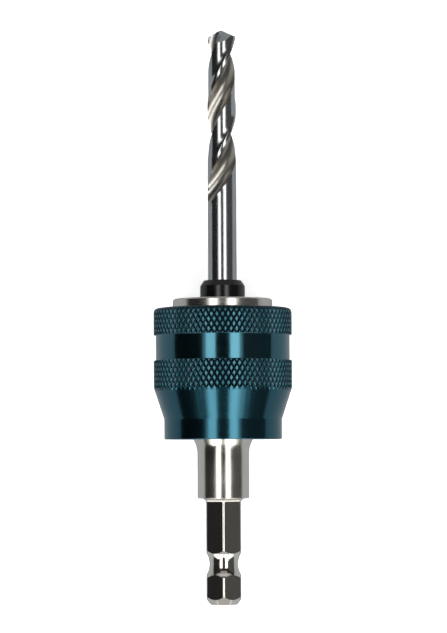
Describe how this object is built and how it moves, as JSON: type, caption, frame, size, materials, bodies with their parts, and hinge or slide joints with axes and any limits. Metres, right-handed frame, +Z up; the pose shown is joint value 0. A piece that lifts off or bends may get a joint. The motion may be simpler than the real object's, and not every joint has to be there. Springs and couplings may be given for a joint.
{
  "type": "hole saw arbor",
  "caption": "Quick-change hole saw arbor: hexagon shank, knurled pull-back sleeve, hexagon socket with locking balls, centring bush and twist pilot drill.",
  "frame": {"origin": "on the axis, in the plane of the head's front face where a hole saw seats", "axes": "+X along the axis towards the drill's point, +Z up as the arbor lies on its sleeve"},
  "size_m": [0.1437, 0.0344, 0.0345],
  "materials": {
    "nickel_plate": "bright nickel plate on turned steel",
    "blue_anodising": "polished blue anodising, knurled bands",
    "black_oxide": "black oxide, smooth",
    "ground_tool_steel": "bright ground",
    "spring_steel": "oiled, plain",
    "ball_steel": "polished"
  },
  "bodies": {
    "mandrel": {"mandrel_body": "nickel_plate", "pilot_bush": "black_oxide", "pilot_drill": "ground_tool_steel", "retaining_ring": "spring_steel"},
    "spring_pack": {"spring_washer": "spring_steel", "sleeve_spring": "spring_steel"},
    "sleeve": {"release_sleeve": "blue_anodising"},
    "saw_ball_1": {"saw_lock_ball_1": "ball_steel"},
    "saw_ball_2": {"saw_lock_ball_2": "ball_steel"},
    "saw_ball_3": {"saw_lock_ball_3": "ball_steel"},
    "drill_ball_1": {"drill_lock_ball_1": "ball_steel"},
    "drill_ball_2": {"drill_lock_ball_2": "ball_steel"}
  },
  "joints": [
    {"name": "sleeve_turn", "type": "hinge", "parent": "mandrel", "child": "spring_pack", "pos_m": [-0.03, 0, 0], "axis": [1, 0, 0], "continuous": true},
    {"name": "sleeve_slide", "type": "slide", "parent": "spring_pack", "child": "sleeve", "axis": [-1, 0, 0], "range_m": [0, 0.0032], "stiffness_N_per_m": 3000, "springref_m": -0.00485, "deforming": ["sleeve_spring"]},
    {"name": "saw_ball_slide_1", "type": "slide", "parent": "mandrel", "child": "saw_ball_1", "axis": [0, 1, 0], "range_m": [0, 0.0008]},
    {"name": "saw_ball_slide_2", "type": "slide", "parent": "mandrel", "child": "saw_ball_2", "axis": [0, -0.5, 0.866], "range_m": [0, 0.0008]},
    {"name": "saw_ball_slide_3", "type": "slide", "parent": "mandrel", "child": "saw_ball_3", "axis": [0, -0.5, -0.866], "range_m": [0, 0.0008]},
    {"name": "drill_ball_slide_1", "type": "slide", "parent": "mandrel", "child": "drill_ball_1", "axis": [0, 0, -1], "range_m": [0, 0.0008]},
    {"name": "drill_ball_slide_2", "type": "slide", "parent": "mandrel", "child": "drill_ball_2", "axis": [0, 0, 1], "range_m": [0, 0.0008]}
  ],
  "couplings": [
    {"joint": "saw_ball_slide_1", "follows": "sleeve_slide", "ratio": 0.25},
    {"joint": "saw_ball_slide_2", "follows": "sleeve_slide", "ratio": 0.25},
    {"joint": "saw_ball_slide_3", "follows": "sleeve_slide", "ratio": 0.25},
    {"joint": "drill_ball_slide_1", "follows": "sleeve_slide", "ratio": 0.25},
    {"joint": "drill_ball_slide_2", "follows": "sleeve_slide", "ratio": 0.25}
  ]
}
